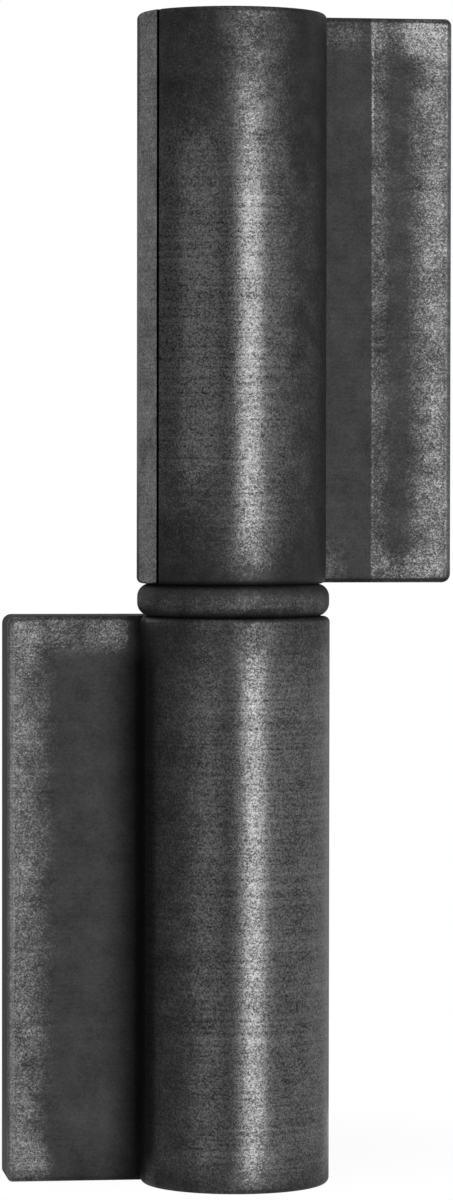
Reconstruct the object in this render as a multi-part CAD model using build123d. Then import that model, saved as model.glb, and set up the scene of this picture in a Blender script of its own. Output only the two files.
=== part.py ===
from build123d import *

import os
from math import cos, radians, sin, sqrt

# Weld-on barrel hinge, lift-off type: two leaves sawn from one drawn steel section, a pin pressed
# into the lower leaf, and a loose thrust ring that carries the upper leaf. The rolls left a flat
# land and an open seam along the upper leaf's barrel; on the lower leaf they closed it.
#
# Frame, in millimetres: the pin runs along Z, the origin is on its axis at half the ring's height,
# +X points along the upper leaf's wing, and +Y is the back, where the wings are laid on and welded.

# ---- driving dimensions -------------------------------------------------------------------------

HINGE_LENGTH = 100.0         # both leaves and the ring between them, end to end

BARREL_DIAMETER = 16.2       # the round of the drawn section
BARREL_SHIFT = 0.17          # the round lies this far off the pin axis, away from the wing

WING_REACH = 19.2            # pin axis to the wing's outer edge
WING_THICKNESS = 6.4         # its back is flush with the back of the barrel
WING_CORNER = 0.85           # rounding of the wing's outer corners, seen from the front
EDGE_BREAK = 0.4             # bevel that breaks the sawn ends and the wing's long edges

LAND_START = 56.6            # degrees from the front, away from the wing, to the flat land's edge
LAND_END = 84.0              # and to where the land runs out into the round
SEAM_WIDTH = 0.3             # the rolling seam that runs along the land's front edge
SEAM_DEPTH = 1.1
SEAM_LEAN = 50.0             # degrees that the seam leans from straight in, back under the land
SEAM_LIP = 0.07              # rounding of the land's edge over the seam

PIN_DIAMETER = 10.0
PIN_CHAMFER = 0.8
PIN_HEADROOM = 2.0           # the pin's top stays this far below the upper leaf's end
PIN_RECESS = 0.3             # its foot sits this far inside the lower leaf's end
PRESS_INTERFERENCE = 0.01    # radial, in the lower leaf
RUNNING_CLEARANCE = 0.07     # radial, in the ring and in the upper leaf
BORE_CHAMFER = 0.6

RING_PROUD = 0.25            # how much larger across the ring is than the barrels
RING_HEIGHT = 2.8
RING_BAND = 0.5              # height of the straight band left between the ring's two roundings
RING_CHAMFER = 0.3           # at its bore

# ---- derived places -----------------------------------------------------------------------------

BARREL_RADIUS = BARREL_DIAMETER / 2
PIN_RADIUS = PIN_DIAMETER / 2
RUNNING_RADIUS = PIN_RADIUS + RUNNING_CLEARANCE
PRESS_RADIUS = PIN_RADIUS - PRESS_INTERFERENCE

RING_DIAMETER = BARREL_DIAMETER + RING_PROUD

LEAF_END = HINGE_LENGTH / 2  # the sawn end away from the ring
LEAF_SEAT = RING_HEIGHT / 2  # the sawn end on the ring
LEAF_LENGTH = LEAF_END - LEAF_SEAT
PAST_ENDS = 1.0              # cutting tools run this far past what they cut

WING_BACK = BARREL_RADIUS
WING_FRONT = WING_BACK - WING_THICKNESS
ROOT_X = sqrt(BARREL_RADIUS**2 - WING_FRONT**2) - BARREL_SHIFT

PIN_TOP = LEAF_END - PIN_HEADROOM
PIN_FOOT = PIN_RECESS - LEAF_END


def on_barrel(angle, radius=BARREL_RADIUS):
    """A point of the section at an angle from its front, counted away from the wing."""
    x = -BARREL_SHIFT - radius * sin(radians(angle))
    y = -radius * cos(radians(angle))
    return Vector(x, y)


# ---- the drawn section --------------------------------------------------------------------------


def section_outline():
    """A round barrel with a wing whose back is tangent to it and whose front meets it sharply."""
    with BuildSketch() as outline:
        with BuildLine():
            back = Line((-BARREL_SHIFT, WING_BACK), (WING_REACH, WING_BACK))
            edge = Line(back @ 1, (WING_REACH, WING_FRONT))
            front = Line(edge @ 1, (ROOT_X, WING_FRONT))
            ThreePointArc(front @ 1, on_barrel(90), back @ 0)
        make_face()
    return outline.sketch


def land_and_seam():
    """What the rolls left off the round: a flat land, and a seam running in under its edge."""
    land_front = on_barrel(LAND_START)
    land_back = on_barrel(LAND_END)
    along = (land_back - land_front).normalized()
    outward = along.rotate(Axis.Z, 90)
    inward = -outward.rotate(Axis.Z, SEAM_LEAN)
    across = inward.rotate(Axis.Z, 90)

    seam_floor = land_front + inward * SEAM_DEPTH
    lip = land_front + along * (SEAM_WIDTH / cos(radians(SEAM_LEAN)))
    with BuildSketch() as relief:
        with BuildLine():
            Polyline(
                land_front,
                seam_floor,
                seam_floor + across * SEAM_WIDTH,
                lip,
                land_back,
                on_barrel(LAND_END, BARREL_RADIUS + PAST_ENDS),
                on_barrel(LAND_START, BARREL_RADIUS + PAST_ENDS),
                close=True,
            )
        make_face()
        fillet(relief.vertices().sort_by_distance(lip)[0], SEAM_LIP)
    return relief.sketch


# ---- leaves -------------------------------------------------------------------------------------


def leaf(bore_radius, seam_open):
    """One leaf, standing on the ring with its wing along +X: sawn off, edges broken, bored."""
    seat = Plane.XY.offset(LEAF_SEAT)
    body = extrude(seat * section_outline(), LEAF_LENGTH)

    outer_corners = body.edges().filter_by(Axis.Y).group_by(Axis.X)[-1]
    body = fillet(outer_corners, WING_CORNER)
    sawn_ends = body.faces().filter_by(Axis.Z).edges()
    long_edges = body.edges().filter_by(Axis.Z).group_by(Axis.X)[-1]
    body = chamfer(sawn_ends + long_edges, EDGE_BREAK)

    below = Plane.XY.offset(LEAF_SEAT - PAST_ENDS)
    if seam_open:
        body -= extrude(below * land_and_seam(), LEAF_LENGTH + 2 * PAST_ENDS)
    body -= extrude(below * Circle(bore_radius), LEAF_LENGTH + 2 * PAST_ENDS)
    mouths = [
        edge
        for edge in body.edges().filter_by(GeomType.CIRCLE)
        if abs(edge.radius - bore_radius) < 0.001
    ]
    return chamfer(mouths, BORE_CHAMFER)


# ---- pin and ring -------------------------------------------------------------------------------


def pin():
    """A plain round pin, chamfered at both ends so that it can be driven in and found again."""
    blank = extrude(Plane.XY.offset(PIN_FOOT) * Circle(PIN_RADIUS), PIN_TOP - PIN_FOOT)
    return chamfer(blank.edges().filter_by(GeomType.CIRCLE), PIN_CHAMFER)


def thrust_ring():
    """A turned ring with a nearly half-round edge, revolved from its section."""
    width = RING_DIAMETER / 2 - RUNNING_RADIUS
    with BuildSketch(Plane.XZ) as section:
        with Locations((RUNNING_RADIUS + width / 2, 0)):
            Rectangle(width, RING_HEIGHT)
        fillet(section.vertices().group_by(Axis.X)[-1], (RING_HEIGHT - RING_BAND) / 2)
        chamfer(section.vertices().group_by(Axis.X)[0], RING_CHAMFER)
    return revolve(section.sketch, Axis.Z)


# ---- write --------------------------------------------------------------------------------------

if __name__ == "__main__":
    os.makedirs("parts", exist_ok=True)
    for name, shape in {
        "upper_leaf": leaf(RUNNING_RADIUS, seam_open=True),
        "lower_leaf": leaf(PRESS_RADIUS, seam_open=False).rotate(Axis.Y, 180),
        "pin": pin(),
        "thrust_ring": thrust_ring(),
    }.items():
        shape.label = name
        export_step(shape, f"parts/{name}.step")
        print(name, round(shape.volume, 1), shape.is_valid, len(shape.solids()))
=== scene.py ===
import math

import bmesh
import bpy
import numpy as np
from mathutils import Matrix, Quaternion, Vector
from mathutils.geometry import tessellate_polygon


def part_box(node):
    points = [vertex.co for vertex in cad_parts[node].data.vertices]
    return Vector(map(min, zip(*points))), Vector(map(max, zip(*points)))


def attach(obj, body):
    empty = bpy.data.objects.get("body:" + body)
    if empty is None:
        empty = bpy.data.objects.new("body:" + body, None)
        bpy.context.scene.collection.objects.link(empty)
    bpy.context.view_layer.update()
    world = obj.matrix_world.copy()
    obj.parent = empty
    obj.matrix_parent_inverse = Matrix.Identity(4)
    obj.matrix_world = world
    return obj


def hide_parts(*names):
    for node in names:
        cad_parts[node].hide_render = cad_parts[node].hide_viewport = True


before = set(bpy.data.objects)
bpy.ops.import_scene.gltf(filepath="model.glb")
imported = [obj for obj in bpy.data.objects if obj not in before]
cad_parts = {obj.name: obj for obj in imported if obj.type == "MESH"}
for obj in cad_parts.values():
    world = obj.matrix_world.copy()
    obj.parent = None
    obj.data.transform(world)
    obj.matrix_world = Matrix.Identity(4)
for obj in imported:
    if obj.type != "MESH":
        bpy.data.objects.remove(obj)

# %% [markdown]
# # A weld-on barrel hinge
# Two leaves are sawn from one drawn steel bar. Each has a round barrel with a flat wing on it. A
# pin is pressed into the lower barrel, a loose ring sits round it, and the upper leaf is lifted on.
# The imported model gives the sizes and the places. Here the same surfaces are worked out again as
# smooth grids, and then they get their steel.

MM = 0.001
scene = bpy.context.scene


def box_mm(node):
    """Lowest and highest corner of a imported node, in millimetres."""
    low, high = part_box(node)
    return np.array(low) / MM, np.array(high) / MM


def smooth(low, high, x):
    """0 below low, 1 above high, and the S-curve t*t*(3 - 2t) between them."""
    t = np.clip((x - low) / (high - low), 0, 1)
    return t * t * (3 - 2 * t)


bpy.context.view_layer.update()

# %% [markdown]
# ## Camera
# A long lens stands a little to the left of the hinge and just above the ring, as for a trade
# catalogue. From there the wings look flat and the barrels stay nearly parallel. A near camera
# would show more of the ends, but make the hinge look short and fat. The camera comes first,
# because every later choice is judged through it.

# %% Camera
CAMERA_AZIMUTH = -7.37       # degrees, to the left of straight on
CAMERA_DISTANCE = 429.1 * MM
CAMERA_HEIGHT = 10.8 * MM    # above the middle of the ring
CAMERA_ROLL = 0.08           # degrees
AIM_LEFT = 0.57 * MM         # the middle of the view passes this far left of the pin's axis
AIM_LOW = 0.04 * MM          # and this far under the ring's middle
LENS, SENSOR = 150.4, 36.0   # mm, as on a real camera

azimuth = math.radians(CAMERA_AZIMUTH)
forward = Vector((-math.sin(azimuth), math.cos(azimuth), 0))
leftward = Vector((-math.cos(azimuth), -math.sin(azimuth), 0))
aim = leftward * AIM_LEFT - Vector((0, 0, AIM_LOW))
camera = bpy.data.objects.new("camera", bpy.data.cameras.new("camera"))
scene.collection.objects.link(camera)
scene.camera = camera
camera.data.sensor_fit, camera.data.sensor_height = "VERTICAL", SENSOR
camera.data.lens = LENS
camera.data.clip_start, camera.data.clip_end = 0.01, 20
camera.location = aim - forward * CAMERA_DISTANCE + Vector((0, 0, CAMERA_HEIGHT))
camera.rotation_mode = "QUATERNION"
looking = (aim - camera.location).to_track_quat("-Z", "Y")
camera.rotation_quaternion = looking @ Quaternion((0, 0, 1), math.radians(CAMERA_ROLL))
print("camera at, mm:", [round(x / MM, 1) for x in camera.location])

# %% [markdown]
# ## The drawn section
# A drawn bar has the same outline from end to end, so a leaf is that outline carried along the
# pin's direction. The outline is a list of points that starts in the fold between barrel and wing,
# runs round the barrel, along the wing's back, over its edge and home along its front. On the upper
# leaf it also drops into the rolling seam and crosses the flat land that the rolls left. It could
# be traced as a curve and extruded, but as an array each point keeps its own facts for the finish.

# %% The section in numbers
leaf_low, leaf_high = box_mm("upper_leaf")
SEAT, END = leaf_low[2], leaf_high[2]       # the sawn end on the ring, and the free one
REACH, BACK = leaf_high[0], leaf_high[1]    # the wing's outer edge, and its back
BARREL = BACK                # the wing's back is flush with the barrel, so this is its radius too
SHIFT = 0.17                 # the barrel lies this far off the pin's axis
WING = 6.4                   # the wing's thickness
FRONT = BACK - WING
EDGE = 0.5                   # rounding of the sawn ends and the wing's long edges
CORNER_ROOM = 3.0            # the rounding may change over this much of the wing's outer edge
SHADOW_LINE = 12.2              # the barrel's painted shadow on the upper wing's front ends along this line
centre = np.array([-SHIFT, 0.0])


def on_barrel(degrees):
    """Points of the barrel: centre - radius (sin a, cos a). 0 is its front, 90 is off the wing."""
    a = np.radians(np.atleast_1d(degrees))
    return centre + BARREL * np.stack([-np.sin(a), -np.cos(a)], -1)


def depth_in_barrel(p):
    """How deep points lie in the barrel: its radius less their distance from its centre."""
    return BARREL - np.linalg.norm(p - centre, axis=-1)


root_angle = -(180 - math.degrees(math.acos(FRONT / BARREL)))
root = on_barrel(root_angle)[0]
print("barrel and wing meet in front at, mm:", root.round(2))

# %% The land and the seam beside it
LAND = (56.6, 84.0)          # degrees round the barrel from its front, away from the wing
SEAM_WIDTH, SEAM_DEPTH, SEAM_LEAN = 0.3, 1.1, math.radians(50)
LIP_BEVEL, LIP_DROP = 0.05, 0.06    # mm along the land, and a share of the seam's back wall

seam_mouth, land_back = on_barrel(LAND[0])[0], on_barrel(LAND[1])[0]
along_land = (land_back - seam_mouth) / np.linalg.norm(land_back - seam_mouth)
out_of_land = np.array([-along_land[1], along_land[0]])
c, s = math.cos(SEAM_LEAN), math.sin(SEAM_LEAN)
into_seam = -np.array([[c, -s], [s, c]]) @ out_of_land
across_seam = np.array([-into_seam[1], into_seam[0]])
seam_floor = seam_mouth + into_seam * SEAM_DEPTH
seam_heel = seam_floor + across_seam * SEAM_WIDTH
lip = seam_mouth + along_land * SEAM_WIDTH / c
depths = depth_in_barrel(np.stack([seam_floor, seam_heel, lip])).round(2)
print("floor, heel and lip of the seam lie deep in the barrel, mm:", depths)

# %% The section's points
CLOSE = (0.2, 0.5)           # mm before and past the shadow line where the points stand close
turn = np.radians(np.linspace(90, 0, 7))
quarter = np.stack([np.cos(turn), np.sin(turn)], -1)
far_edge, near_edge = np.array([[REACH - EDGE, BACK - EDGE], [REACH - EDGE, FRONT + EDGE]])
line_past, line_before = np.array([[SHADOW_LINE + CLOSE[1], FRONT], [SHADOW_LINE - CLOSE[0], FRONT]])
IN_RELIEF = ("seam_front", "seam_floor", "seam_back", "lip", "land")


def run(a, b, count, gather=0.0):
    """Points from a up to, but not with, b: a + t(b - a).

    The steps of t are even, less gather times a sine wave, which crowds them towards both ends.
    """
    t = np.linspace(0, 1, count, endpoint=False)
    t = t - gather * np.sin(2 * np.pi * t) / (2 * np.pi)
    return a + t[:, None] * (b - a)


def section_runs(seam_open):
    """The outline as named runs of points: from the fold round the barrel, home along the wing.

    The counts put points up to 0.5 mm apart, and closer where a rim, a lip or the wear is sharp.
    """
    if seam_open:
        over_lip = lip + (seam_heel - lip) * LIP_DROP
        past_lip = lip + along_land * LIP_BEVEL
        barrel = {
            "barrel": on_barrel(np.linspace(root_angle, LAND[0], 96)[:-1]),
            "seam_front": run(seam_mouth, seam_floor, 8),
            "seam_floor": run(seam_floor, seam_heel, 3),
            "seam_back": run(seam_heel, over_lip, 9),
            "lip": run(over_lip, past_lip, 1),
            "land": run(past_lip, land_back, 14, 0.5),
            "barrel_back": on_barrel(np.linspace(LAND[1], 180, 54)[:-1]),
        }
    else:
        barrel = {"barrel": on_barrel(np.linspace(root_angle, 180, 170)[:-1])}
    return barrel | {
        "back": run(np.array([-SHIFT, BACK]), np.array([REACH - EDGE, BACK]), 56, 0.9),
        "far_round": far_edge + EDGE * quarter,
        "edge": run(np.array([REACH, BACK - EDGE]), np.array([REACH, FRONT + EDGE]), 20, 0.9)[1:],
        "near_round": near_edge + EDGE * quarter[::-1] * [1, -1],
        "front": np.concatenate([
            run(np.array([REACH - EDGE, FRONT]), line_past, 26, 0.5)[1:],
            run(line_past, line_before, 7),
            run(line_before, root, 22, 0.5),
        ]),
    }


print("runs of the upper leaf:", ", ".join(section_runs(seam_open=True)))

# %% How far a point may go before it meets the seam
wall = seam_heel + np.linspace(0, 1, 60)[:, None] * (lip - seam_heel)
wall_depth = depth_in_barrel(wall)


def hit_wall(p, direction):
    """How far each point can go in its direction before it meets the seam's back wall.

    Two straight lines cross where their cross products say. Where they do so outside the wall's
    length or behind the point, the answer is infinity.
    """
    along = lip - seam_heel
    cross = direction[:, 0] * along[1] - direction[:, 1] * along[0]
    to = seam_heel - p
    with np.errstate(divide="ignore", invalid="ignore"):
        far = (to[:, 0] * along[1] - to[:, 1] * along[0]) / cross
        share = (to[:, 0] * direction[:, 1] - to[:, 1] * direction[:, 0]) / cross
    return np.where((share > 0) & (share < 1) & (far > -1e-9), far, np.inf)


print("the seam's back wall runs from and to a depth of, mm:", wall_depth[[0, -1]].round(2))

# %% The section with its facts
class Section:
    """The drawn outline. Each point knows its run, which way is in and how deep it lies already."""

    def __init__(self, seam_open):
        self.runs = section_runs(seam_open)
        self.points = np.concatenate(list(self.runs.values()))
        self.run_number = np.repeat(np.arange(len(self.runs)), [len(p) for p in self.runs.values()])
        on_round = self.pick("barrel", "barrel_back", *IN_RELIEF)
        to_centre = centre - self.points
        to_centre /= np.linalg.norm(to_centre, axis=-1)[:, None]
        self.inward = np.where(on_round[:, None], to_centre, 0.0)
        for name, way in (("back", (0, -1)), ("edge", (-1, 0)), ("front", (0, 1))):
            self.inward[self.pick(name)] = way
        self.inward[self.pick("far_round")] = -quarter
        self.inward[self.pick("near_round")] = -quarter[::-1] * [1, -1]
        # In the fold a point leaves barrel and wing at once: (a + b) / (1 + a.b) does that.
        fold = self.inward[0] + [0, 1]
        self.inward[0] = fold / (1 + self.inward[0] @ [0, 1])
        self.own_depth = np.where(self.pick(*IN_RELIEF), depth_in_barrel(self.points), 0.0)
        to_wall = hit_wall(self.points, self.inward)
        self.reach_in = np.where(self.pick("land", "lip"), to_wall, np.inf)
        self.reach_in[self.pick("seam_back")] = 0.0
        self.corner_share = smooth(REACH - CORNER_ROOM, REACH - EDGE, self.points[:, 0])

    def pick(self, *names):
        """Which points belong to the named runs."""
        order = list(self.runs)
        return np.isin(self.run_number, [order.index(n) for n in names if n in order])

    def inset(self, depth):
        """The outline moved in to a depth under the barrel's and the wing's skin.

        A point that already lies deeper stays. Over the seam there is no steel to move into, so a
        point that meets the seam's back wall follows that wall down instead.
        """
        travel = np.maximum(depth - self.own_depth, 0.0)
        moved = self.points + self.inward * travel[:, None]
        down_wall = [np.interp(depth, wall_depth[::-1], wall[::-1, i]) for i in (0, 1)]
        return np.where((travel > self.reach_in)[:, None], down_wall, moved)


seamed, closed = Section(seam_open=True), Section(seam_open=False)
print("section points, with and without the seam:", len(seamed.points), len(closed.points))

# %% [markdown]
# ## Carrying the section along the leaf
# Rows of the section are stacked from the sawn end on the ring to the free sawn end. At both ends
# the last rows shrink as a quarter circle does, which rounds the rim, and one more row lies flat
# inside it, so that the light doesn't bend on the sawn face. The bore is a short profile spun round
# the pin's axis. The sawn faces are filled between the last row and the bore. An extruded curve
# with a bevel modifier would do for the plain leaf, but not where the rim crosses the seam.

# %% Rows round a sawn end
RIM_ROWS = 9                 # rows in the rim's quarter circle
FLAT_RING = 0.08             # how far inside the rim the flat row lies


def rim_rows(section, end, sign, corner):
    """Rows from the rim's foot to the sawn face: inset by EDGE(1 - cos b), risen by EDGE sin b.

    Towards the wing's outer edge the quarter circle grows or shrinks to the corner's own radius.
    """
    rows = []
    extra = (corner - EDGE) * section.corner_share
    for b in np.linspace(0, math.pi / 2, RIM_ROWS):
        flat = section.inset(EDGE * (1 - math.cos(b)))
        flat[:, 0] -= extra * (1 - math.cos(b))
        rows.append(np.column_stack([flat, end - sign * (EDGE + extra) * (1 - math.sin(b))]))
    inside = EDGE + FLAT_RING
    flat = section.inset(inside)
    flat[:, 0] = np.minimum(flat[:, 0] - extra, REACH - corner - FLAT_RING)
    outer = section.pick("far_round", "edge", "near_round")
    flat[outer, 0] = REACH - corner - FLAT_RING
    flat[outer, 1] = np.clip(section.points[outer, 1], FRONT + inside, BACK - inside)
    rows.append(np.column_stack([flat, np.full(len(flat), float(end))]))
    return np.array(rows)


print("rows at each sawn end:", RIM_ROWS + 1)

# %% Grids, spun profiles and filled faces
SAME_PLACE = 1e-4            # mm, points closer than this are one point of a loop


def grid_faces(rows, columns, first=0):
    """Quads between neighbouring rows: (r, c), (r+1, c), (r+1, c+1), (r, c+1), joined round."""
    r, c = np.meshgrid(np.arange(rows - 1), np.arange(columns), indexing="ij")
    n = (c + 1) % columns
    corners = [r * columns + c, (r + 1) * columns + c, (r + 1) * columns + n, r * columns + n]
    return np.stack(corners, -1).reshape(-1, 4) + first


def spun(profile, steps, first=0):
    """A profile of (radius, height) points spun round Z: (r cos a, r sin a, h) for each angle."""
    a = np.linspace(0, 2 * math.pi, steps, endpoint=False)
    radius, height = np.array(profile, float).T
    around = [np.outer(radius, np.cos(a)), np.outer(radius, np.sin(a))]
    points = np.stack([*around, np.outer(height, np.ones(steps))], -1)
    return points.reshape(-1, 3), grid_faces(len(profile), steps, first)


def fill_ring(points, outer, inner):
    """Triangles between two loops of point numbers that lie in one plane."""
    steps = points[outer] - points[np.roll(outer, 1)]
    outer = outer[np.linalg.norm(steps, axis=-1) > SAME_PLACE]
    loops = [list(map(Vector, points[loop])) for loop in (outer, inner)]
    return np.concatenate([outer, inner])[np.array(tessellate_polygon(loops))]


print("faces of a 3 by 4 grid:", len(grid_faces(3, 4)))

# %% One leaf's surface
BODY_ROWS, BORE_STEPS = 64, 128
BORE_CHAMFER = 0.6


def leaf_surface(section, bore, seat_corner, free_corner):
    """Points and faces of a closed leaf, standing on the ring with its wing along +X.

    Rows of the section at even heights between the two rims, a spun bore, and two filled ends.
    """
    low = rim_rows(section, SEAT, -1, seat_corner)[::-1]
    high = rim_rows(section, END, 1, free_corner)
    t = np.linspace(0, 1, BODY_ROWS + 2)[1:-1, None, None]
    stack = np.concatenate([low, low[-1] + t * (high[0] - low[-1]), high])
    rows, columns = stack.shape[:2]
    skin = stack.reshape(-1, 3)
    mouth = bore + BORE_CHAMFER
    profile = [(mouth, END), (bore, END - BORE_CHAMFER), (bore, SEAT + BORE_CHAMFER), (mouth, SEAT)]
    hole, hole_faces = spun(profile, BORE_STEPS, len(skin))
    points = np.concatenate([skin, hole])
    ring = np.arange(BORE_STEPS) + len(skin)
    top = fill_ring(points, np.arange(columns) + (rows - 1) * columns, ring)
    foot = fill_ring(points, np.arange(columns), ring + 3 * BORE_STEPS)
    return points, [grid_faces(rows, columns)[:, ::-1], hole_faces, top, foot]


print("rows in a leaf:", BODY_ROWS + 2 * (RIM_ROWS + 1))

# %% From points to a piece
MERGE = 2e-7                 # metres, doubles are closer than this
SHARP = math.radians(25)     # steeper edges stay sharp in the shading


def make_piece(name, points, faces):
    """A mesh object at the origin from points in mm, with doubles merged and faces outwards."""
    mesh = bpy.data.meshes.new(name)
    mesh.from_pydata(points * MM, [], [face for group in faces for face in group.tolist()])
    piece = bpy.data.objects.new(name, mesh)
    scene.collection.objects.link(piece)
    work = bmesh.new()
    work.from_mesh(mesh)
    bmesh.ops.remove_doubles(work, verts=work.verts, dist=MERGE)
    bmesh.ops.recalc_face_normals(work, faces=work.faces)
    open_edges = sum(not e.is_manifold for e in work.edges)
    volume = work.calc_volume(signed=True) / MM**3
    work.to_mesh(mesh)
    work.free()
    mesh.shade_smooth()
    mesh.set_sharp_from_angle(angle=SHARP)
    print(f"{name}: {len(mesh.polygons)} faces, {open_edges} open edges, {volume:.1f} mm3")
    return piece


def turned_over(points):
    """Half a turn about the Y axis, which takes the upper leaf's place to the lower leaf's."""
    return points * [-1, 1, -1]

# %% The two leaves
RUNNING_GAP, PRESS = 0.07, 0.01    # how much wider and tighter the two bores are than the pin
pin_low, pin_high = box_mm("pin")
PIN = pin_high[0]
RUNNING, PRESSED = PIN + RUNNING_GAP, PIN - PRESS
points, faces = leaf_surface(seamed, RUNNING, seat_corner=0.75, free_corner=0.6)
upper_leaf = make_piece("upper_leaf_drawn", points, faces)
points, faces = leaf_surface(closed, PRESSED, seat_corner=0.8, free_corner=0.45)
lower_leaf = make_piece("lower_leaf_drawn", turned_over(points), faces)

# %% [markdown]
# ## Ring and pin
# Both are turned on a lathe, so each is a profile spun round the axis. The ring is a thick washer
# whose outer edge is nearly a half circle; the pin is a ground rod with chamfered ends. A cylinder
# with a bevel modifier would look much the same, but a profile holds each real size by name. A
# narrow flat strip beside each corner keeps the shading of the flat faces even.

# %% Ring
ring_high = box_mm("thrust_ring")[1]
RING, RING_TOP = ring_high[0], ring_high[2]
RING_BAND = 0.25             # half the height of the straight band round the ring
RING_ROUND = RING_TOP - RING_BAND
RING_CHAMFER = 0.3
FLAT_STRIP = 0.1
bend = np.radians(np.linspace(90, 0, 13))
rim_radius = RING - RING_ROUND + RING_ROUND * np.cos(bend)
rim = np.stack([rim_radius, RING_BAND + RING_ROUND * np.sin(bend)], -1)
upper_half = np.concatenate([
    [(RUNNING, RING_TOP - RING_CHAMFER), (RUNNING + RING_CHAMFER, RING_TOP)],
    [(rim_radius[0] - FLAT_STRIP, RING_TOP)],
    rim,
])
profile = np.concatenate([upper_half, upper_half[::-1] * [1, -1], upper_half[:1]])
points, faces = spun(profile, 192)
thrust_ring = make_piece("thrust_ring_turned", points, [faces[:, ::-1]])

# %% Pin
PIN_CHAMFER = 0.8
PIN_TOP, PIN_FOOT = pin_high[2], pin_low[2]
PIN_FACE = PIN - PIN_CHAMFER
upper_end = [(0, PIN_TOP), (PIN_FACE - FLAT_STRIP, PIN_TOP), (PIN_FACE, PIN_TOP)]
side = [(PIN, PIN_TOP - PIN_CHAMFER), (PIN, PIN_FOOT + PIN_CHAMFER)]
lower_end = [(PIN_FACE, PIN_FOOT), (PIN_FACE - FLAT_STRIP, PIN_FOOT), (0, PIN_FOOT)]
points, faces = spun(upper_end + side + lower_end, 128)
pin = make_piece("pressed_pin", points, [faces[:, ::-1]])

# %% Which body each piece rides on
for piece, body, node, steel in (
    (upper_leaf, "upper", "upper_leaf", "leaf_steel"),
    (lower_leaf, "lower", "lower_leaf", "leaf_steel"),
    (thrust_ring, "ring", "thrust_ring", "ring_steel"),
    (pin, "lower", "pin", "pin_steel"),
):
    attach(piece, body)
    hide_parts(node)
    print(f"{piece.name} rides on {body} and stands for {node}")

# %% [markdown]
# ## Floor, studio and lamps
# Dark steel shows its surroundings more than its own colour, so the studio is half of the finish.
# Round the hinge it is a plain dim grey, in which the metal keeps its depth. Behind the hinge it is
# white, and to the camera it is white everywhere. Tall soft boxes give the upright streaks on the
# barrels: a bright one to the right of the camera, dimmer ones to the left and far to the right.
# Dim ones from behind and above shape the sides, the back and the top. The floor is a round pale
# table top. It ends close in front of the hinge, because a long white floor would show in the
# barrel in place of the soft boxes. A ready-made studio sky could light it all, but lamps that
# have names can be moved one at a time.

# %% Ways to write a colour and to add a node
def linear(hex_colour):
    """The linear values of an sRGB colour that is written as RRGGBB."""
    parts = np.array([int(hex_colour[i:i + 2], 16) for i in (0, 2, 4)]) / 255
    flat = np.where(parts <= 0.04045, parts / 12.92, ((parts + 0.055) / 1.055) ** 2.4)
    return (*flat.tolist(), 1.0)


def add(tree, kind, inputs, **settings):
    """A new node. An input is a number, a colour or another node's socket."""
    made = tree.nodes.new(kind)
    for name, value in settings.items():
        setattr(made, name, value)
    for key, value in inputs.items():
        if isinstance(value, bpy.types.NodeSocket):
            tree.links.new(value, made.inputs[key])
        else:
            made.inputs[key].default_value = value
    return made


def shown_rays(tree):
    """1 for rays that come from the camera, and 1 for those that metal or glass sends on."""
    path = add(tree, "ShaderNodeLightPath", {}).outputs
    mirrored = {0: path["Is Glossy Ray"], 1: path["Is Transmission Ray"]}
    sent_on = add(tree, "ShaderNodeMath", mirrored, operation="MAXIMUM").outputs[0]
    return path["Is Camera Ray"], sent_on


print("mid grey in linear values:", round(linear("808080")[0], 3))

# %% World
STUDIO_GREY = 0.28
WHITE_BEHIND = (10.0, 5.0)   # degrees off straight behind where the white starts, and is full

world = bpy.data.worlds.new("studio")
scene.world = world
world.use_nodes = True
tree = world.node_tree
seen, sent_on = shown_rays(tree)
facing = add(tree, "ShaderNodeTexCoord", {}).outputs["Generated"]
straight = {0: facing, 1: tuple(forward)}
straight = add(tree, "ShaderNodeVectorMath", straight, operation="DOT_PRODUCT").outputs["Value"]
low, high = (math.cos(math.radians(a)) for a in WHITE_BEHIND)
behind = {"Value": straight, "From Min": low, "From Max": high}
behind = add(tree, "ShaderNodeMapRange", behind).outputs[0]
in_metal = add(tree, "ShaderNodeMath", {0: sent_on, 1: behind}, operation="MULTIPLY").outputs[0]
white = add(tree, "ShaderNodeMath", {0: seen, 1: in_metal}, operation="MAXIMUM").outputs[0]
shade = {"Value": white, "To Min": STUDIO_GREY, "To Max": 1.0}
shade = add(tree, "ShaderNodeMapRange", shade).outputs[0]
tree.links.new(shade, tree.nodes["Background"].inputs["Color"])
print("studio grey:", STUDIO_GREY)

# %% Floor
FLOOR_RADIUS, FLOOR_CENTRE = 0.034, (0.0, 0.023)
FLOOR_HEIGHT = -(END + 0.02) * MM    # a hair under the foot, so that the two faces don't coincide
points, faces = spun([(0, 0)] + [(r, 0) for r in np.linspace(0.1, 1, 12)], 96)
points = points * [FLOOR_RADIUS, FLOOR_RADIUS, 0] + [*FLOOR_CENTRE, FLOOR_HEIGHT]
floor = make_piece("floor", points / MM, [faces])

# %% Matt painted board for the floor: pale and dull, without a reflection of the steel
WHITE_FROM = (0.025, 0.045)  # how far back the floor starts to look white in the metal, and is
NEAR_WHITE = 0.4             # share of white that the metal sees in the floor nearer than that
SHADOW = 0.07                # share of the floor's look that the lamps and the shadow make
CLEAR = (0.3, 0.95)          # shares of the radius between which the shadow fades away

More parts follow.
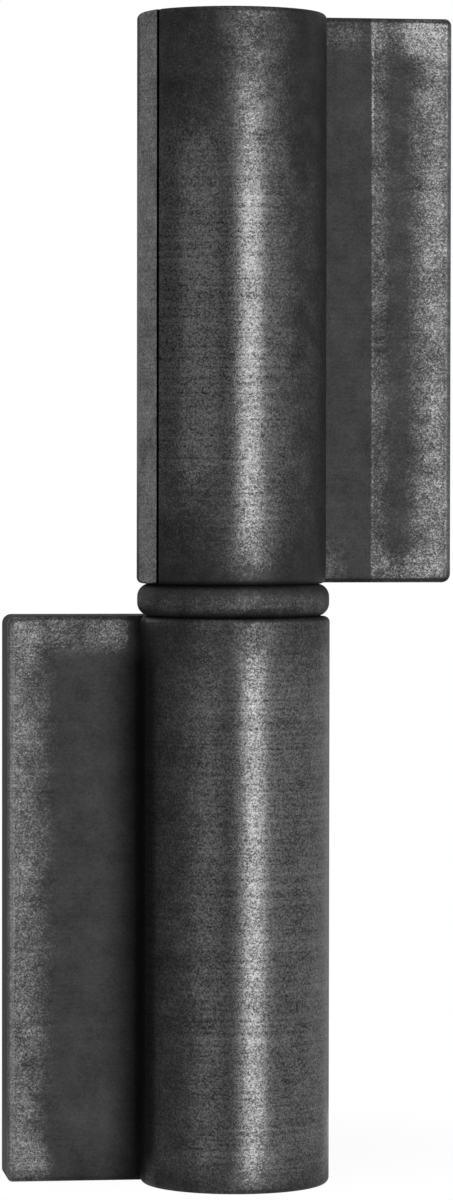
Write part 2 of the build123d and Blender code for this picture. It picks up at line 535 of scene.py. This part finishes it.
board = bpy.data.materials.new("matt_painted_board")
board.use_nodes = True
tree = board.node_tree
tree.nodes.remove(tree.nodes["Principled BSDF"])
seen, sent_on = shown_rays(tree)
place = add(tree, "ShaderNodeTexCoord", {}).outputs["Object"]
depth = add(tree, "ShaderNodeSeparateXYZ", {0: place}).outputs["Y"]
back = {"Value": depth, "From Min": WHITE_FROM[0], "From Max": WHITE_FROM[1], "To Min": NEAR_WHITE}
back = add(tree, "ShaderNodeMapRange", back).outputs[0]
in_metal = add(tree, "ShaderNodeMath", {0: sent_on, 1: back}, operation="MULTIPLY").outputs[0]
shown = add(tree, "ShaderNodeMath", {0: seen, 1: in_metal}, operation="MAXIMUM").outputs[0]
middle = {0: place, 1: (*FLOOR_CENTRE, FLOOR_HEIGHT)}
off_middle = add(tree, "ShaderNodeVectorMath", middle, operation="DISTANCE").outputs["Value"]
fading = {"From Min": FLOOR_RADIUS * CLEAR[0], "From Max": FLOOR_RADIUS * CLEAR[1]}
towards_rim = {"Value": off_middle, **fading, "To Min": 1 - SHADOW}
paper = add(tree, "ShaderNodeMapRange", towards_rim).outputs[0]
share = add(tree, "ShaderNodeMath", {0: shown, 1: paper}, operation="MULTIPLY").outputs[0]
paint = add(tree, "ShaderNodeBsdfDiffuse", {"Color": linear("E8E8E8")}).outputs[0]
glow = add(tree, "ShaderNodeEmission", {"Color": (1, 1, 1, 1), "Strength": 1.0}).outputs[0]
mixed = add(tree, "ShaderNodeMixShader", {0: share, 1: paint, 2: glow}).outputs[0]
tree.links.new(mixed, tree.nodes["Material Output"].inputs["Surface"])
floor.data.materials.append(board)
print("floor board nodes:", len(tree.nodes))

# %% Soft boxes
SOFT_BOXES = {               # azimuth and elevation in degrees, width and height in m, brightness
    "key_right": (15.9, 3, 0.37, 0.95, 3.2),
    "fill_left": (-46.0, 3, 0.76, 0.95, 0.33),
    "fill_far_right": (75.0, 3, 1.90, 0.95, 0.36),
    "rim_left": (-133.0, 3, 0.40, 0.95, 0.45),
    "overhead": (-10.0, 78, 0.80, 0.80, 0.5),
    "behind_right": (136.0, 3, 0.42, 0.95, 0.25),
}
BOX_DISTANCE = 0.9
for name, (around, up, width, height, brightness) in SOFT_BOXES.items():
    light = bpy.data.lights.new(name, "AREA")
    light.shape, light.size, light.size_y = "RECTANGLE", width, height
    light.energy = 4 * width * height * brightness    # the watts that give a box this brightness
    box = bpy.data.objects.new(name, light)
    scene.collection.objects.link(box)
    a, e = math.radians(around), math.radians(up)
    towards = Vector((math.sin(a) * math.cos(e), -math.cos(a) * math.cos(e), math.sin(e)))
    box.location = BOX_DISTANCE * towards
    box.rotation_mode = "QUATERNION"
    box.rotation_quaternion = (-box.location).to_track_quat("-Z", "Y")
    box.visible_camera = False
    print(f"{name}: {light.energy:.2f} W")

# %% [markdown]
# ## Where the steel is rubbed, and where shade is painted
# The hinge is drawn mild steel under a thin black oxide. Tumbling among its fellows and handling
# have rubbed the oxide on what stands out: the barrels' middles, the ring's belly, the wings' outer
# edges, a band on the upper wing, a few patches at the corners. Shade is painted in as less
# rubbing on the barrels beside the wings and over the ring's middle, and as the barrel's shadow on
# the upper wing, with painted light at its edge and by its ends. On the lower leaf shade is painted
# darker into the fold and onto the wing's outer edge. On the sawn ends the saw's strokes show. A
# few
# numbers on each point say all this: the first goes from 0, dull oxide, to 1, bright steel. It
# could be painted by hand, but as a formula of the place it is even, repeatable and easy to move.

# %% Rubbed barrels, with painted shade beside the wing
# Angle is in degrees round the barrel from its front, counted away from the wing. h is the height
# over the seat, and x the place along the wing, both in mm. The numbers inside smooth and between
# are such places, and those before them are shares of rub.
def between(x, start, full, fade, gone):
    """0 outside start..gone, 1 inside full..fade, S-shaped between."""
    return smooth(start, full, x) * (1 - smooth(fade, gone, x))


def barrel_rub(angle, h, upper):
    """How rubbed a barrel is: a product of S-curves of angle and height, one for each place.

    It is most in the middle, and little at the sawn ends and towards the back. Beside the wing it
    is low too, which is painted shade.
    """
    to_the_back = 1 - 0.85 * smooth(105, 165, np.abs(angle))
    if upper:
        seat_end = (0.25 + 0.75 * smooth(-4, 12, h)) * (0.45 + 0.55 * smooth(0.2, 2.2, h))
        free_end = 1 - 0.52 * smooth(26, 46, h)
        by_the_land = 1 - 0.5 * smooth(8, 20, angle) * (1 - between(h, 6, 12, 36, 41))
        # Beside the wing the barrel is made duller and darker: painted shade.
        shade_by_the_wing = 1 - 0.7 * smooth(12, 40, -angle)
        return seat_end * free_end * by_the_land * shade_by_the_wing * to_the_back
    seat_end = 0.47 + 0.40 * smooth(1.5, 6.0, h)
    free_end = 1 - 0.55 * smooth(44.6, 48.2, h)
    # Beside the wing the barrel is made duller and darker: painted shade.
    shade_by_the_wing = 1 - 0.4 * between(angle, -68, -58, -38, -22)
    return seat_end * free_end * shade_by_the_wing * to_the_back


print("upper barrel, half way up, in front:", barrel_rub(0, 24, True).round(2))

# %% Rubbed wings, and the barrel's shadow painted on the upper one
MOST_RUB = 0.75              # nothing here is worn to bright metal all over


def upper_wing_rub(x, h):
    """How rubbed the upper wing's front is, and where the barrel's shadow is painted on it.

    It is the highest of its bands, with its ends added. The bands are the outer edge and the one
    that starts at the shadow line, which adds a bright line itself. Between the barrel and that
    line the
    front stays dark: painted shadow. The bright line, the foot by the barrel and the top there are
    painted light where that shadow stops; elsewhere the top and the foot are wear.
    """
    # Short of the shadow line nothing is added here: the barrel's painted shadow.
    outer = 0.64 * smooth(13.6, 18.0, x) * (1 - 0.28 * smooth(18.2, 18.8, x))
    band = 0.40 * between(x, SHADOW_LINE - 0.08, SHADOW_LINE + 0.06, SHADOW_LINE + 0.5, SHADOW_LINE + 2.6)
    band = np.maximum(band, 0.16 * smooth(SHADOW_LINE, SHADOW_LINE + 0.5, x))
    # A bright line along the edge of the painted shadow: painted light.
    line = between(x, SHADOW_LINE - 0.1, SHADOW_LINE, SHADOW_LINE + 0.12, SHADOW_LINE + 0.25)
    line = (0.1 + 0.2 * between(h, 36, 42, 46, 48)) * line
    gaps = 1 - 0.4 * between(x, 10.9, 11.6, 12.0, 12.2)
    gaps = gaps * (1 - 0.35 * between(x, 12.2, 12.4, 13.5, 15))
    # Top and foot: worn bands, and next to the barrel painted light where its shadow stops.
    top = 0.34 * smooth(44.8, 46.6, h) * gaps
    top_right = 0.3 * smooth(44.5, 46.5, h) * smooth(14.2, 16.4, x)
    foot = 0.27 * (1 - smooth(3.0, 5.0, h)) * (1 - smooth(9.6, 10.8, x))
    foot_right = 0.3 * (1 - smooth(1.8, 3.2, h)) * between(x, 12.8, 13.6, 15.0, 18.0)
    ends = np.maximum(top + top_right, foot + foot_right)
    return np.clip(np.maximum(outer, band) + line + ends, 0, MOST_RUB)


def lower_wing_rub(x, h):
    """How rubbed the lower wing's front is: its outer edge, a strip at the seat, one corner."""
    narrowing = 0.5 * smooth(28, 46, h)
    outer = 0.52 * smooth(14.0 + narrowing, 18.2, x)
    strip = 0.44 * (1 - smooth(1.8, 4.0, h)) * smooth(8.6, 9.0, x)
    strip = strip * (1 - 0.2 * between(x, 10.5, 12, 13, 14.5))
    corner = 0.36 * smooth(44.5, 46.5, h) * smooth(14.6, 16.6, x)
    return np.clip(np.maximum(outer, strip * 0.6) + 0.4 * strip + corner + 0.06, 0, MOST_RUB)


def fold_grime(x, h):
    """Painted shade on the wing where it runs into the fold: most in it, 0 a few mm out."""
    return 0.6 * (1 - smooth(8.3, 11.2, x)) ** 0.8 * (0.35 + 0.65 * smooth(2.6, 4.6, h))


def back_rub(x, h):
    """The back was never in the way much: its outer edge and its four corners only."""
    ends = 1 - between(h, 0.4, 3.0, 45.6, 48.2)
    return 0.14 + 0.4 * smooth(16.8, 18.6, x) + 0.25 * ends * (0.4 + 0.6 * smooth(10, 18, x))


print("upper wing past the die line:", upper_wing_rub(SHADOW_LINE + 0.3, 24).round(2))

# %% Writing the wear and the painted shade to the leaves
HAIR = 0.02                  # mm, slack when points are sorted by place
LAND_DEPTH = 0.4             # the land lies less than this deep in the barrel
SIDE_RUB, SAWN_RUB = 0.15, 0.22


def places(piece):
    """The points of a piece, in mm."""
    place = np.empty(len(piece.data.vertices) * 3, np.float32)
    piece.data.vertices.foreach_get("co", place)
    return place.reshape(-1, 3) / MM


def store(piece, **numbers):
    """Write numbers to a piece's points, each set under its own name."""
    for name, values in numbers.items():
        attribute = piece.data.attributes.new(name, "FLOAT", "POINT")
        attribute.data.foreach_set("value", values.astype(np.float32))


def write_wear_and_shade(piece, upper):
    """Write to each point of a leaf how rubbed, how bare, how much shade is painted and whether
    sawn it is there; painted shade lowers the first number in places too.

    The places are the leaf's own, so they are the same for both leaves.
    """
    x, y, z = (places(piece) * ([1, 1, 1] if upper else [-1, 1, -1])).T
    h = z - SEAT
    angle = np.degrees(np.arctan2(-(x + SHIFT), -y))
    radius = np.hypot(x + SHIFT, y)
    sawn = (h < HAIR) | (h > END - SEAT - HAIR)
    in_land = (radius < BARREL - HAIR) & (radius > BARREL - LAND_DEPTH)
    on_land = (angle > LAND[0] - 1) & (angle < LAND[1]) & in_land & upper
    on_front = (x > root[0] - HAIR) & (y < FRONT + EDGE + HAIR)
    on_back = (x > 0) & (y > BACK - EDGE - HAIR)
    on_round = (radius > BARREL - EDGE - HAIR) & (x < root[0] + HAIR)

    front_rub = upper_wing_rub(x, h) if upper else lower_wing_rub(x, h)
    found = [sawn, on_land, on_front, on_back, on_round]
    rubs = [SAWN_RUB, MOST_RUB, front_rub, back_rub(x, h), barrel_rub(angle, h, upper)]
    rub = np.select(found, rubs, SIDE_RUB)

    # The roundings of the wing's outer edge are bare but for their last bit and the corners.
    bare = between(x, REACH - EDGE - 0.1, REACH - EDGE + 0.1, REACH - 0.12, REACH - 0.01)
    bare = bare * between(h, 0.3, 1.5, 47.1, 48.3)
    in_front = y < FRONT + EDGE + HAIR
    bare = bare * np.where(in_front, 0.3 if upper else 1.0, 0.5)

    grime = np.zeros(len(x))
    # On the lower leaf shade is painted in: darker into the fold, and on the wing's outer edge
    # face, more towards the free end.
    if not upper:
        on_outer_edge = (x > REACH - 0.05) & ~sawn
        edge_grime = 0.25 + 0.15 * smooth(38, 48, h)
        grime = np.select([on_outer_edge, on_front], [edge_grime, fold_grime(x, h)], 0.0)
    store(piece, rub=rub, bare=bare, grime=grime, sawn=sawn)
    print(f"{piece.name}: mean rub {rub.mean():.2f}")


write_wear_and_shade(upper_leaf, True)
write_wear_and_shade(lower_leaf, False)

# %% Wear round the ring's belly, with painted shade over its middle
BELLY = (0.8, 0.1)           # mm in from the ring's widest where the wear starts, and is full
SHADED_OVER = (-0.1, 0.6)           # heights from the ring's middle between which painted shade takes the wear away
x, y, z = places(thrust_ring).T
# Over the ring's middle nine tenths of the belly's wear is taken away: painted shade on its upper
# half.
belly = smooth(RING - BELLY[0], RING - BELLY[1], np.hypot(x, y)) * (1 - 0.9 * smooth(*SHADED_OVER, z))
ring_rub = 0.16 + 0.32 * belly
store(thrust_ring, rub=ring_rub)
print("ring's rub, least and most:", ring_rub.min().round(2), ring_rub.max().round(2))

# %% [markdown]
# ## Oxide and rubbed steel
# Black oxide on drawn mild steel is dark, dull and slightly grainy. Where it is rubbed, the grain's
# tops show bright steel and the pits between keep the oxide, so the change from dull to bright is a
# sprinkling of specks, not a fade. One material mixes both by the points' rub and a fine noise. It
# could be two materials with a painted mask between them, but the mask would have to be as fine as
# the grain.

# %% Patterns of the steel
GRAIN = 0.11 * MM            # the real one is about half of this, which would not show
CLOUD = 2.4 * MM             # patches of thicker and thinner oxide
RULED = 0.4                  # fine marks round the barrels and along the wings; the grain is 1
SOFT = 0.6                   # share of a soft noise in the grain; the rest are hard-edged cells


def steel_patterns(tree):
    """The place, the grain, the clouds and the fine lines along the surface, each from 0 to 1.

    The grain is a mix of cells and a soft noise. The lines are a noise on places that are squeezed
    fifty times in X and Y, so that only the height changes it quickly.
    """
    place = add(tree, "ShaderNodeTexCoord", {}).outputs["Object"]
    cells = {"Vector": place, "Scale": 1 / GRAIN}
    cells = add(tree, "ShaderNodeTexVoronoi", cells).outputs["Color"]
    cells = add(tree, "ShaderNodeSeparateColor", {0: cells}).outputs[0]
    soft = {"Vector": place, "Scale": 0.7 / GRAIN, "Detail": 2.0, "Roughness": 0.6}
    soft = add(tree, "ShaderNodeTexNoise", soft).outputs[0]
    grain = add(tree, "ShaderNodeMix", {0: SOFT, 2: cells, 3: soft}).outputs[0]
    cloud = {"Vector": place, "Scale": 1 / CLOUD, "Detail": 6.0, "Roughness": 0.7}
    cloud = add(tree, "ShaderNodeTexNoise", cloud).outputs[0]
    flattened = {0: place, 1: (0.02, 0.02, 1.0)}
    flattened = add(tree, "ShaderNodeVectorMath", flattened, operation="MULTIPLY").outputs[0]
    lines = {"Vector": flattened, "Scale": 1 / (2 * GRAIN), "Detail": 2.0}
    lines = add(tree, "ShaderNodeTexNoise", lines).outputs[0]
    return place, grain, cloud, lines


print("grain and cloud, mm:", GRAIN / MM, CLOUD / MM)

# %% How much bare steel shows
SPECKS, PATCHES = 0.65, 0.6  # how strongly grain and clouds decide where the oxide is gone
TAKING = (2.5, 0.2)          # they count fully from where this line over the rub reaches 1
BARE_FROM, BARE_FULL = 0.1, 1.0     # rub and patterns together at which steel starts to show


def share_of_steel(tree, rub, grain, cloud, speckle, patchy):
    """An S-curve of the rub plus specks and patches, which count less where little is rubbed."""
    specks = {0: grain, 1: SPECKS * speckle, 2: -SPECKS * speckle / 2}
    specks = add(tree, "ShaderNodeMath", specks, operation="MULTIPLY_ADD").outputs[0]
    patches = {0: cloud, 1: PATCHES * patchy, 2: -PATCHES * patchy / 2}
    patches = add(tree, "ShaderNodeMath", patches, operation="MULTIPLY_ADD").outputs[0]
    clamped = {"operation": "MULTIPLY_ADD", "use_clamp": True}
    taking = add(tree, "ShaderNodeMath", {0: rub, 1: TAKING[0], 2: TAKING[1]}, **clamped)
    uneven = add(tree, "ShaderNodeMath", {0: specks, 1: patches}, operation="ADD").outputs[0]
    total = {0: uneven, 1: taking.outputs[0], 2: rub}
    total = add(tree, "ShaderNodeMath", total, operation="MULTIPLY_ADD").outputs[0]
    share = {"Value": total, "From Min": BARE_FROM, "From Max": BARE_FULL}
    return add(tree, "ShaderNodeMapRange", share, interpolation_type="SMOOTHSTEP").outputs[0]


print("patterns count fully from a rub of:", (1 - TAKING[1]) / TAKING[0])

# %% Lighter and darker places
OXIDE_TONE, STEEL_TONE = 0.8, 2.9   # how strongly the grain lightens and darkens either
CLOUD_TONE = 1.2
DARKEST = 0.15               # the darkest that a tone may make a colour, as a share of it


def tone_of_grain(tree, share, grain, cloud, lines):
    """1 on average: grain and fine lines push it up and down, more in steel, and clouds evenly."""
    depth = {"Value": share, "To Min": OXIDE_TONE, "To Max": STEEL_TONE}
    depth = add(tree, "ShaderNodeMapRange", depth).outputs[0]
    ruled = {0: lines, 1: RULED, 2: grain}
    ruled = add(tree, "ShaderNodeMath", ruled, operation="MULTIPLY_ADD").outputs[0]
    off_mean = {0: ruled, 1: (1 + RULED) / 2}
    off_mean = add(tree, "ShaderNodeMath", off_mean, operation="SUBTRACT").outputs[0]
    tone = {0: off_mean, 1: depth, 2: 1.0}
    tone = add(tree, "ShaderNodeMath", tone, operation="MULTIPLY_ADD").outputs[0]
    shaded = {0: cloud, 1: CLOUD_TONE, 2: -CLOUD_TONE / 2}
    shaded = add(tree, "ShaderNodeMath", shaded, operation="MULTIPLY_ADD").outputs[0]
    tone = add(tree, "ShaderNodeMath", {0: tone, 1: shaded}, operation="ADD").outputs[0]
    return add(tree, "ShaderNodeMath", {0: tone, 1: DARKEST}, operation="MAXIMUM").outputs[0]


print("tone of the grain in oxide and in steel:", OXIDE_TONE, STEEL_TONE)

# %% Saw strokes and painted shade
SAW_STROKE = 0.4 * MM        # the teeth leave about two marks in a millimetre
SAW_TONE = 2.4
ALONG_STROKE = (0.12, 1.0, 0.0)     # squeezed eight times in X, so the strokes run along the wing


def sawn_and_shaded(tree, place, tone):
    """The tone with a stretched noise added on the sawn ends, times 1 less the painted shade."""
    across = {0: place, 1: ALONG_STROKE}
    across = add(tree, "ShaderNodeVectorMath", across, operation="MULTIPLY").outputs[0]
    strokes = {"Vector": across, "Scale": 1 / SAW_STROKE, "Detail": 3.0}
    strokes = add(tree, "ShaderNodeTexNoise", strokes).outputs[0]
    strokes = add(tree, "ShaderNodeMath", {0: strokes, 1: 0.5}, operation="SUBTRACT").outputs[0]
    sawn = add(tree, "ShaderNodeAttribute", {}, attribute_name="sawn").outputs["Fac"]
    sawn = add(tree, "ShaderNodeMath", {0: sawn, 1: SAW_TONE}, operation="MULTIPLY").outputs[0]
    tone = {0: strokes, 1: sawn, 2: tone}
    tone = add(tree, "ShaderNodeMath", tone, operation="MULTIPLY_ADD").outputs[0]
    # The painted shade that the points carry darkens the colour here.
    grime = add(tree, "ShaderNodeAttribute", {}, attribute_name="grime").outputs["Fac"]
    unshaded = add(tree, "ShaderNodeMath", {0: 1.0, 1: grime}, operation="SUBTRACT").outputs[0]
    return add(tree, "ShaderNodeMath", {0: tone, 1: unshaded}, operation="MULTIPLY").outputs[0]


print("saw stroke, mm:", SAW_STROKE / MM)

# %% Steel under black oxide
EDGE_STEEL = "8C8C8C"        # steel of the wings' bare roundings
BUMP, BUMP_STRENGTH = 0.02 * MM, 0.2


def oxidised_steel(name, oxide, bare, dull, bright, rubbed=None, speckle=1.0, patchy=1.0):
    """Steel under black oxide: oxide and bare are its colours, dull and bright their roughness.

    Rubbed is a number for the whole piece, or None for the numbers that the points carry.
    """
    material = bpy.data.materials.new(name)
    material.use_nodes = True
    tree = material.node_tree
    skin = tree.nodes["Principled BSDF"]
    skin.inputs["Metallic"].default_value = 1.0
    place, grain, cloud, lines = steel_patterns(tree)

    rub = rubbed
    if rubbed is None:
        rub = add(tree, "ShaderNodeAttribute", {}, attribute_name="rub").outputs["Fac"]
    share = share_of_steel(tree, rub, grain, cloud, speckle, patchy)
    tone = tone_of_grain(tree, share, grain, cloud, lines)
    colour = {0: share, 6: linear(oxide), 7: linear(bare)}
    colour = add(tree, "ShaderNodeMix", colour, data_type="RGBA").outputs[2]
    if rubbed is None:
        edges = add(tree, "ShaderNodeAttribute", {}, attribute_name="bare").outputs["Fac"]
        colour = {0: edges, 6: colour, 7: linear(EDGE_STEEL)}
        colour = add(tree, "ShaderNodeMix", colour, data_type="RGBA").outputs[2]
        tone = sawn_and_shaded(tree, place, tone)
    grey = add(tree, "ShaderNodeCombineColor", {0: tone, 1: tone, 2: tone}).outputs[0]
    toned = {0: 1.0, 6: colour, 7: grey}
    toned = add(tree, "ShaderNodeMix", toned, data_type="RGBA", blend_type="MULTIPLY").outputs[2]
    tree.links.new(toned, skin.inputs["Base Color"])

    rough = {"Value": share, "To Min": dull, "To Max": bright}
    rough = add(tree, "ShaderNodeMapRange", rough).outputs[0]
    tree.links.new(rough, skin.inputs["Roughness"])
    bump = {"Height": grain, "Strength": BUMP_STRENGTH, "Distance": BUMP}
    bump = add(tree, "ShaderNodeBump", bump).outputs[0]
    tree.links.new(bump, skin.inputs["Normal"])
    print(f"{name}: {len(tree.nodes)} nodes")
    return material


# %% The three steels
# Drawn mild steel, black oxide, tumbled: charcoal and dull, with a soft streak where it is rubbed.
# Its points also carry painted shade and a painted shadow, which make it darker there.
leaf_steel = oxidised_steel("drawn_steel_black_oxide", "3E3E3E", "5E5E5E", 0.58, 0.27)
# Turned mild steel, black oxide: rougher than the drawn bar, so blotchy and without a streak.
# Over its middle it is duller and darker by painted shade.
ring_steel = oxidised_steel("turned_steel_black_oxide", "484848", "5E5E5E", 0.62, 0.52,
                            speckle=1.5, patchy=2.6)
# Ground steel under a film of oil: nearly all bare, even and bright.
pin_steel = oxidised_steel("ground_steel_oiled", "585858", "8A8A8A", 0.35, 0.2,
                           rubbed=0.9, speckle=0.3)
for piece, steel in (
    (upper_leaf, leaf_steel), (lower_leaf, leaf_steel), (thrust_ring, ring_steel), (pin, pin_steel),
):
    piece.data.materials.append(steel)

# %% [markdown]
# ## The colour view
# The Standard view shows each colour as it is written.

# %% Finish
scene.view_settings.view_transform = "Standard"
